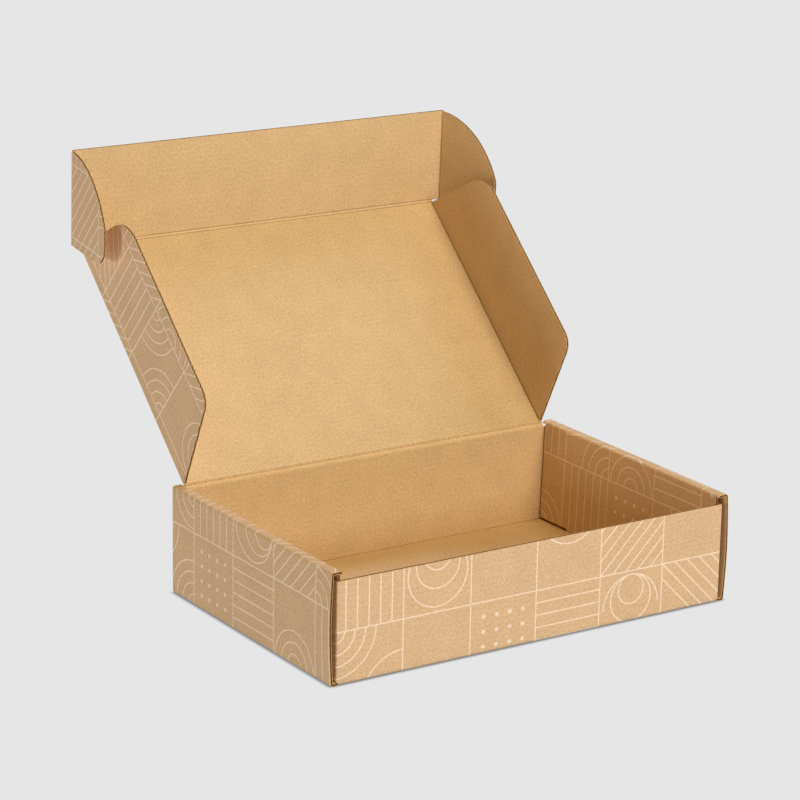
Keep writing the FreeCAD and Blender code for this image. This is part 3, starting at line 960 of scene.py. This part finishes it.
def strip_sheet(values, places, marks):
    """The narrow strip between the hinge's two scores."""
    end = places.hinge_end
    low, high = places.flat_lower, places.flat_upper
    right = [
        ("bead", stretch((0, low), (end, low))),
        ("flute", stretch((end, low), (end, high), FLUTE_STEP)),
        ("bead", stretch((end, high), (0, high))),
    ]
    folds = (("y", low, "soft"), ("y", high, "sunk"))
    place = panel_place(values, places.lower, X, places.strip_way, 0, low, folds)
    sheet = Sheet(values)
    # A painted highlight down the strip's middle, besides the painted shade and highlight of its two
    # scores.
    sheet.scores = (*folds, ("y", (low + high) / 2, "bowed"))
    sheet.patch(right + mirrored(right), place, fold_lines(folds), (), marks)
    return sheet


def lid_sheet(values, places, marks):
    """The lid's own panel."""
    end = places.flap[0]
    low, high = places.flat_upper, places.flat_tuck
    start, stop = low + FLAP_START, high - FLAP_END
    right = [
        ("under", stretch((0, low), (end, low))),
        ("flute", stretch((end, low), (end, start), FLUTE_STEP)),
        ("under", stretch((end, start), (end, stop))),
        ("flute", stretch((end, stop), (end, high), FLUTE_STEP)),
        ("under", stretch((end, high), (0, high))),
    ]
    folds = (("y", low, "sunk"), ("y", high, "raised"), ("x", end, "deep"), ("x", -end, "deep"))
    place = panel_place(values, places.upper, X, places.lid_way, 0, low, folds)
    sheet = Sheet(values)
    sheet.scores = folds
    sheet.patch(right + mirrored(right), place, fold_lines(folds), (), marks)
    return sheet


def tuck_sheet(values, places, marks):
    """The flap that tucks over the front wall."""
    low = places.flat_tuck
    high = low + TUCK_LENGTH
    inner = places.flap[0] - places.middle
    ear = places.ear[0]
    shoulder, top = low + EAR_SHOULDER, low + EAR_ARC
    right = [
        ("bead", stretch((0, low), (inner, low))),
        ("plain", [(inner, low), (inner, shoulder)]),
        ("along", stretch((inner, shoulder), (ear, shoulder))),
        ("under", stretch((ear, shoulder), (ear, top))),
        ("plain", [(ear, top), (ear, high)]),
        ("along", stretch((ear, high), (0, high))),
    ]
    folds = (("y", low, "raised"), ("x", ear, "deep"), ("x", -ear, "deep"))
    place = panel_place(values, places.tuck, X, places.tuck_way, 0, low, folds)
    sheet = Sheet(values)
    sheet.scores = folds
    sheet.patch(right + mirrored(right), place, fold_lines(folds), (), marks)
    return sheet


def side_flap_sheet(values, places, marks, side):
    """A flap on the lid's side edge, bent towards the box's inside."""
    low = places.flat_upper + FLAP_START
    high = places.flat_tuck - FLAP_END
    depth = FLAP_DEPTH
    axis = places.flap[0]
    back = (axis + depth, low + depth * math.tan(FLAP_BACK_SLANT))
    front = (axis + depth, high - depth * math.tan(FLAP_FRONT_SLANT))
    first = rounded_corner((axis, low), back, front, FLAP_BACK_RADIUS, FLUTE_STEP)
    second = rounded_corner(back, front, (axis, high), FLAP_FRONT_RADIUS, FLUTE_STEP)
    edge = (line_points((axis, low), first[0], FLUTE_STEP)[:-1] + first[:-1]
            + line_points(first[-1], second[0], FLUTE_STEP)[:-1] + second[:-1]
            + line_points(second[-1], (axis, high), FLUTE_STEP))
    runs = [("flute", edge), ("bead", stretch((axis, high), (axis, low)))]
    return flap_sheet(values, runs, places.upper + X * axis, places.lid_way, values["flap_bend"],
                      axis, places.flat_upper, marks, side)


def ear_sheet(values, places, marks, side):
    """An ear on the tuck flap's end, for the slot beside the front wall."""
    axis = places.ear[0]
    base = places.flat_tuck
    low = base + EAR_SHOULDER
    reach = EAR_REACH
    start = math.degrees(math.acos(reach / EAR_ARC))
    arc = arc_points((axis, base), EAR_ARC, start, 90, FLUTE_STEP)
    corner = rounded_corner((axis, low), (axis + reach, low), arc[0], EAR_CORNER, FLUTE_STEP)
    edge = (corner[:-1] + line_points(corner[-1], arc[0], FLUTE_STEP)[:-1] + arc)
    runs = [
        ("along", stretch((axis, low), corner[0])),
        ("flute", edge),
        ("bead", stretch(arc[-1], (axis, low))),
    ]
    return flap_sheet(values, runs, places.tuck + X * axis, places.tuck_way, places.ear_bend,
                      axis, base, marks, side)


def flap_sheet(values, runs, origin, way, bend, axis, base, marks, side):
    """A flap bent from its panel's side edge; runs are drawn for the right side."""
    inside = np.cross(X, way)
    across = X * math.cos(bend) + inside * math.sin(bend)
    folds = (("x", axis, "deep"),)
    place = panel_place(values, origin, across, way, axis, base, folds)
    lines = [[(axis + off, -FAR_ALONG), (axis + off, FAR_ALONG)] for off in RIDGE_EDGES]
    sheet = Sheet(values)
    sheet.scores = (("x", axis * side, "deep"),)
    if side > 0:
        sheet.patch(runs, place, lines, (), marks)
    else:
        sheet.patch(mirrored(runs), mirrored_place(place), mirrored_lines(lines), (), marks)
    return sheet


def panel_place(values, origin, across, way, flat_x, flat_y, folds):
    """place() for a flat panel.

    folds are its scores: for each, the way across it, its place and its shape."""
    inside = np.cross(across, way)
    board, groove = values["board"], values["groove"]

    def place(x, y, share):
        pressed = sum(scored_in(abs((x if along == "x" else y) - at), groove, shape)
                      for along, at, shape in folds)
        up = board / 2 * (2 * share - 1) - pressed * share
        return origin + across * (x - flat_x) + way * (y - flat_y) + inside * up

    return place


def fold_lines(folds):
    """Mesh edges on the inner side of each score of a panel that is symmetric left to right."""
    lines = []
    for along, at, _ in folds:
        for off in RIDGE_EDGES:
            for run in (at - off, at + off):
                if along == "x":
                    lines.append([(run, -FAR_ALONG), (run, FAR_ALONG)])
                else:
                    lines.append([(-FAR_ACROSS, run), (FAR_ACROSS, run)])
    return lines


# ---------------------------------------------------------------- materials

# Sizes of what shows in the paper: cloudy mottling, streaks in the flutes' stripes, flecks
# of pulp, and fibres. Single fibres are too fine to show, so clumps of them are drawn.
MOTTLE = 18.0
STREAK = 12.0
FLECK = 1.6
FIBRE = 0.6
# Fibres and streaks are longer along the flutes than across them.
FIBRE_STRETCH = (0.35, 1.0, 1.0)
STREAK_STRETCH = (0.25, 1.0, 1.0)
# How much the mottling lightens and darkens the paper.
MOTTLE_SHADE = 0.035
# Where in the noise a clump of darker fibres starts, and where it is darkest.
FIBRE_START, FIBRE_FULL = 0.6, 0.78
# Painted shade darkens a score's groove this much, and a painted highlight makes its ridge this much paler.
# This stands for the light and shade of the fold's relief, with the crushed paper's own slightly darker
# tone in it too.
SCORE_SHADE = 0.34
# Relief of the pulp and the flutes, in metres.
RELIEF = 0.00004
# Uncoated paper scatters light widely and hardly shines.
PAPER_ROUGHNESS = 0.82
PAPER_SPECULAR = 0.25
# Strength of the flecks and of the flutes' stripes in the liners, and in ink on a liner.
LINER_FLECKS, LINER_STRIPES = 0.15, 0.018
INK_FLECKS, INK_STRIPES = 0.1, 0.015
EDGE_FLECKS = 0.2
# Shade of the darker fibres, as a share of the paper's own.
LINER_FIBRES = 0.8
EDGE_FIBRES = 0.7


def add_node(tree, kind, inputs=(), **settings):
    """A shader node with its settings made and its sockets set or linked."""
    node = tree.nodes.new(kind)
    for name, value in settings.items():
        setattr(node, name, value)
    for socket, value in dict(inputs).items():
        if isinstance(value, bpy.types.NodeSocket):
            tree.links.new(value, node.inputs[socket])
        else:
            node.inputs[socket].default_value = value
    return node


def paper_material(name, colour, dark, flecks, stripes, pitch):
    """Uncoated paper over fluting: soft mottling, fine fibres, the flutes showing through, and painted
    shade and highlight along the scores.

    dark is the shade of the darker fibres, flecks the strength of the lighter and darker
    flecks of pulp, stripes that of the flutes where they press through the liner."""
    material = bpy.data.materials.new(name)
    material.use_nodes = True
    tree = material.node_tree
    tree.nodes.clear()
    flat = add_node(tree, "ShaderNodeUVMap", uv_map="Flat").outputs["UV"]
    metres = add_node(tree, "ShaderNodeTexCoord").outputs["Object"]
    mottle = add_node(tree, "ShaderNodeTexNoise", {
        "Vector": metres, "Scale": 1 / (MOTTLE * MM), "Detail": 3.0, "Roughness": 0.55})
    fleck = add_node(tree, "ShaderNodeTexNoise", {
        "Vector": flat, "Scale": 1 / (FLECK * MM), "Detail": 2.5, "Roughness": 0.7})
    stretched = add_node(tree, "ShaderNodeVectorMath", {0: flat, 1: FIBRE_STRETCH}, operation="MULTIPLY")
    fibre = add_node(tree, "ShaderNodeTexNoise", {
        "Vector": stretched.outputs[0], "Scale": 1 / (FIBRE * MM), "Detail": 1.0})
    drawn_out = add_node(tree, "ShaderNodeVectorMath", {0: flat, 1: STREAK_STRETCH}, operation="MULTIPLY")
    streak = add_node(tree, "ShaderNodeTexNoise", {
        "Vector": drawn_out.outputs[0], "Scale": 1 / (STREAK * MM), "Detail": 1.0})

    # The flutes' stripes, stronger in one streak than in the next.
    parts = add_node(tree, "ShaderNodeSeparateXYZ", {0: flat})
    turn = add_node(tree, "ShaderNodeMath", {0: parts.outputs["Y"], 1: 2 * math.pi / (pitch * MM)},
                    operation="MULTIPLY")
    wave = add_node(tree, "ShaderNodeMath", {0: turn.outputs[0]}, operation="COSINE")
    flutes = add_node(tree, "ShaderNodeMath", {0: wave.outputs[0], 1: streak.outputs["Fac"]},
                      operation="MULTIPLY")

    # The paper's colour with its darker fibres.
    dark_fibres = add_node(tree, "ShaderNodeMapRange", {
        "Value": fibre.outputs["Fac"], "From Min": FIBRE_START, "From Max": FIBRE_FULL,
        "To Min": 0.0, "To Max": 1.0})
    base = add_node(tree, "ShaderNodeMix", {
        "Factor": dark_fibres.outputs["Result"], "A": colour, "B": dark}, data_type="RGBA")

    # Lighter and darker by the mottling, the flecks and the flutes, and by painted shade in the scores'
    # grooves and painted highlight on their ridges.
    soft = add_node(tree, "ShaderNodeMapRange", {
        "Value": mottle.outputs["Fac"], "From Min": 0.3, "From Max": 0.7,
        "To Min": 1.0 - MOTTLE_SHADE, "To Max": 1.0 + MOTTLE_SHADE})
    flecked = add_node(tree, "ShaderNodeMapRange", {
        "Value": fleck.outputs["Fac"], "From Min": 0.25, "From Max": 0.75,
        "To Min": 1.0 - flecks, "To Max": 1.0 + flecks})
    paper = add_node(tree, "ShaderNodeMath", {0: soft.outputs["Result"], 1: flecked.outputs["Result"]},
                     operation="MULTIPLY")
    shade = add_node(tree, "ShaderNodeMath", {0: flutes.outputs[0], 1: stripes, 2: paper.outputs[0]},
                     operation="MULTIPLY_ADD")
    # Painted shade in the scores' grooves and painted highlight on their ridges, read from the mesh's
    # corner attribute.
    pressed = add_node(tree, "ShaderNodeAttribute", attribute_name="Pressed").outputs["Fac"]
    score_shading = add_node(tree, "ShaderNodeMapRange", {
        "Value": pressed, "From Min": -1.0, "From Max": 1.0,
        "To Min": 1.0 + SCORE_SHADE, "To Max": 1.0 - SCORE_SHADE})
    tone_and_score_shading = add_node(tree, "ShaderNodeMath", {0: shade.outputs[0], 1: score_shading.outputs["Result"]},
                    operation="MULTIPLY")
    tinted = add_node(tree, "ShaderNodeVectorMath", {0: base.outputs["Result"], "Scale": tone_and_score_shading.outputs[0]},
                      operation="SCALE")

    relief = add_node(tree, "ShaderNodeMath", {0: fleck.outputs["Fac"], 1: 0.5, 2: flutes.outputs[0]},
                      operation="MULTIPLY_ADD")
    bump = add_node(tree, "ShaderNodeBump", {
        "Height": relief.outputs[0], "Distance": RELIEF, "Strength": 0.4})
    surface = add_node(tree, "ShaderNodeBsdfPrincipled", {
        "Base Color": tinted.outputs[0], "Roughness": PAPER_ROUGHNESS,
        "Specular IOR Level": PAPER_SPECULAR, "Normal": bump.outputs["Normal"]})
    add_node(tree, "ShaderNodeOutputMaterial", {"Surface": surface.outputs["BSDF"]})
    return material


def board_materials(values, colours):
    """The board's five finishes, in the order of the face kinds."""
    pitch = values["flute_pitch"]
    inside, outside, ink = linear(colours.inside), linear(colours.outside), linear(colours.ink)
    cut, flute = linear(colours.cut), linear(colours.flute)
    return [
        # Unbleached kraft paper, uncoated: matt golden brown with darker fibres and flecks
        # of pulp, and the flutes' faint stripes.
        paper_material("Kraft liner inside", inside, darker(inside, LINER_FIBRES),
                       LINER_FLECKS, LINER_STRIPES, pitch),
        # The same paper on the outside, a shade duller.
        paper_material("Kraft liner outside", outside, darker(outside, LINER_FIBRES),
                       LINER_FLECKS, LINER_STRIPES, pitch),
        # Thin flexographic ink: matt cream that lets fibres of the liner show.
        paper_material("Cream ink on kraft", ink, outside, INK_FLECKS, INK_STRIPES, pitch),
        # Die-cut edges of the two liners: a pale line with torn fibres.
        paper_material("Cut kraft paper", cut, darker(cut, EDGE_FIBRES), EDGE_FLECKS, 0.0, pitch),
        # Recycled paper of the fluting, seen only in cut edges: dull dark brown, darkened as painted shade
        # for the recess it lies in between the liners.
        paper_material("Fluted kraft paper", flute, darker(flute, EDGE_FIBRES), EDGE_FLECKS, 0.0, pitch),
    ]


def darker(colour, share):
    return [part * share for part in colour[:3]] + [1.0]


# ---------------------------------------------------------------- the stage

# Half the floor's side, in metres, and how strongly it glows.
FLOOR_REACH = 30.0
FLOOR_GLOW = 0.847
# The painted contact shadow, a thin dark line where the box meets the glowing floor: its reach in metres,
# how open a spot is where it is darkest, and its shade there as a share of the glow.
CONTACT_REACH = 0.003
CONTACT_OPEN = 0.4
CONTACT_SHADE = 0.35
CONTACT_SAMPLES = 16

# Light from all around, warm, to stand for what the studio's walls send back.
WORLD_COLOUR = (1.0, 0.72, 0.1, 1.0)
WORLD_STRENGTH = 0.1
# Each softbox: name, place and side in metres, colour, and power in watts.
LIGHTS = (
    ("Key softbox", (0.15, -5.0, 1.7), 1.2, (1.0, 0.985, 0.92), 88.0),
    ("Front top softbox", (0.1, -1.3, 2.3), 1.2, (1.0, 0.86, 0.55), 22.5),
    ("Back top softbox", (1.2, 0.9, 2.2), 1.0, (0.7, 0.78, 1.0), 27.0),
    ("Left softbox", (-2.6, 0.08, 0.2), 0.5, (1.0, 0.94, 0.8), 13.2),
)
LIGHT_TARGET = (0.0, 0.05, 0.1)

# The camera's place in metres, its three axes, lens and sensor in millimetres.
CAMERA_PLACE = (-0.9905, -1.4438, 0.6370)
CAMERA_RIGHT = (0.83725, -0.54655, 0.01726)
CAMERA_UP = (0.14016, 0.24498, 0.95935)
CAMERA_BACK = (-0.52856, -0.80079, 0.28171)
CAMERA_LENS = 138.3
CAMERA_SENSOR = 36.0
CAMERA_REACH = 100.0


def make_stage(colours):
    """Floor, even surroundings, soft studio lights and the camera."""
    scene = bpy.context.scene
    scene.view_settings.view_transform = "Standard"
    scene.view_settings.look = "Medium High Contrast"
    add_floor(scene, linear(colours.floor))
    add_surroundings(scene)
    for name, place, size, colour, power in LIGHTS:
        add_softbox(scene, name, place, size, colour, power)
    add_camera(scene)


def add_floor(scene, shade):
    """A wide sweep lit from behind, with a painted contact shadow, a thin dark line, where something stands
    on it.
    """
    low, high = -FLOOR_REACH, FLOOR_REACH
    mesh = bpy.data.meshes.new("Studio floor")
    mesh.from_pydata([(low, low, 0), (high, low, 0), (high, high, 0), (low, high, 0)], [], [(0, 1, 2, 3)])
    # White acrylic sweep, opal and backlit: an even pale grey without a horizon.
    material = bpy.data.materials.new("Backlit studio sweep")
    material.use_nodes = True
    tree = material.node_tree
    tree.nodes.clear()
    # Painted contact shadow: the glow dims where ambient occlusion finds something close above the floor.
    contact = add_node(tree, "ShaderNodeAmbientOcclusion", {"Distance": CONTACT_REACH},
                       samples=CONTACT_SAMPLES)
    fade = add_node(tree, "ShaderNodeMapRange", {
        "Value": contact.outputs["AO"], "From Min": CONTACT_OPEN, "From Max": 1.0,
        "To Min": FLOOR_GLOW * CONTACT_SHADE, "To Max": FLOOR_GLOW})
    glow = add_node(tree, "ShaderNodeEmission", {"Color": shade, "Strength": fade.outputs["Result"]})
    add_node(tree, "ShaderNodeOutputMaterial", {"Surface": glow.outputs[0]})
    mesh.materials.append(material)
    floor = bpy.data.objects.new("Studio floor", mesh)
    scene.collection.objects.link(floor)


def add_surroundings(scene):
    world = bpy.data.worlds.new("Studio")
    world.use_nodes = True
    background = world.node_tree.nodes["Background"]
    background.inputs["Color"].default_value = WORLD_COLOUR
    background.inputs["Strength"].default_value = WORLD_STRENGTH
    scene.world = world


def add_softbox(scene, name, place, size, colour, power):
    """A square light that faces the box."""
    lamp = bpy.data.lights.new(name, "AREA")
    lamp.size = size
    lamp.color = colour
    lamp.energy = power
    item = bpy.data.objects.new(name, lamp)
    item.location = place
    way = Vector(LIGHT_TARGET) - Vector(place)
    item.rotation_euler = way.to_track_quat("-Z", "Y").to_euler()
    scene.collection.objects.link(item)


def add_camera(scene):
    lens = bpy.data.cameras.new("Camera")
    lens.lens = CAMERA_LENS
    lens.sensor_width = CAMERA_SENSOR
    lens.clip_end = CAMERA_REACH
    camera = bpy.data.objects.new("Camera", lens)
    turn = Matrix((CAMERA_RIGHT, CAMERA_UP, CAMERA_BACK)).transposed()
    camera.matrix_world = Matrix.Translation(CAMERA_PLACE) @ turn.to_4x4()
    scene.collection.objects.link(camera)
    scene.camera = camera


# ---------------------------------------------------------------- operators

SHARED = {}


def shared(values):
    """Fold places, print and materials, made once for each set of sizes and colours."""
    colours = bpy.context.scene.mailer_colours
    chosen = (*values.values(), *(getattr(colours, name) for name in BoardColours.__annotations__))
    if chosen not in SHARED:
        SHARED[chosen] = (Places(values), printed_marks(values), board_materials(values, colours))
    return SHARED[chosen]


def make_piece(name, body, node, draw, *more):
    """Draw a sheet, make it a piece that rides on its body and replaces its node."""
    values = sizes()
    places, marks, materials = shared(values)
    piece = draw(values, places, marks, *more).make(name, materials)
    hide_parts(node)
    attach(piece, body)
    return piece


class MAILER_OT_stage(bpy.types.Operator):
    """Add the studio floor, lights, surroundings and camera."""

    bl_idname = "mailer.stage"
    bl_label = "Stage"

    def execute(self, context):
        make_stage(context.scene.mailer_colours)
        return {"FINISHED"}


class MAILER_OT_tray(bpy.types.Operator):
    """Fold the tray with its rolled side walls, corner flaps and lock tabs."""

    bl_idname = "mailer.tray"
    bl_label = "Tray"

    def execute(self, context):
        make_piece("Tray", "tray", "tray", tray_sheet)
        return {"FINISHED"}


class MAILER_OT_lid(bpy.types.Operator):
    """Make the lid's panel and the hinge strip behind it."""

    bl_idname = "mailer.lid"
    bl_label = "Lid and hinge strip"

    def execute(self, context):
        make_piece("Hinge_strip", "hinge_strip", "lid_hinge_strip", strip_sheet)
        make_piece("Lid", "lid", "lid_panel", lid_sheet)
        return {"FINISHED"}


class MAILER_OT_side_flaps(bpy.types.Operator):
    """Make the two flaps on the lid's side edges."""

    bl_idname = "mailer.side_flaps"
    bl_label = "Side flaps"

    def execute(self, context):
        for word, side in (("right", 1), ("left", -1)):
            make_piece(f"Side_flap_{word}", f"side_flap_{word}", f"lid_side_flap_{word}",
                       side_flap_sheet, side)
        return {"FINISHED"}


class MAILER_OT_tuck(bpy.types.Operator):
    """Make the tuck flap and its two ears."""

    bl_idname = "mailer.tuck"
    bl_label = "Tuck flap and ears"

    def execute(self, context):
        make_piece("Tuck_flap", "tuck", "tuck_flap", tuck_sheet)
        for word, side in (("right", 1), ("left", -1)):
            make_piece(f"Ear_{word}", f"ear_{word}", f"tuck_ear_{word}", ear_sheet, side)
        return {"FINISHED"}


STEPS = (MAILER_OT_tray, MAILER_OT_lid, MAILER_OT_side_flaps, MAILER_OT_tuck, MAILER_OT_stage)


class MAILER_PT_panel(bpy.types.Panel):
    """The mailer box's sizes, colours and steps."""

    bl_label = "Mailer Box"
    bl_idname = "MAILER_PT_panel"
    bl_space_type = "VIEW_3D"
    bl_region_type = "UI"
    bl_category = "Mailer Box"

    def draw(self, context):
        scene = context.scene
        for group in (scene.mailer_sizes, scene.mailer_colours):
            for name in group.__annotations__:
                self.layout.prop(group, name)
        for step in STEPS:
            self.layout.operator(step.bl_idname)


CLASSES = (BoardSizes, BoardColours, *STEPS, MAILER_PT_panel)


def register():
    for item in CLASSES:
        bpy.utils.register_class(item)
    bpy.types.Scene.mailer_sizes = PointerProperty(type=BoardSizes)
    bpy.types.Scene.mailer_colours = PointerProperty(type=BoardColours)


def unregister():
    del bpy.types.Scene.mailer_colours
    del bpy.types.Scene.mailer_sizes
    for item in reversed(CLASSES):
        bpy.utils.unregister_class(item)


def main():
    register()
    bpy.ops.mailer.tray()
    bpy.ops.mailer.lid()
    bpy.ops.mailer.side_flaps()
    bpy.ops.mailer.tuck()
    bpy.ops.mailer.stage()


if __name__ == "__main__":
    main()
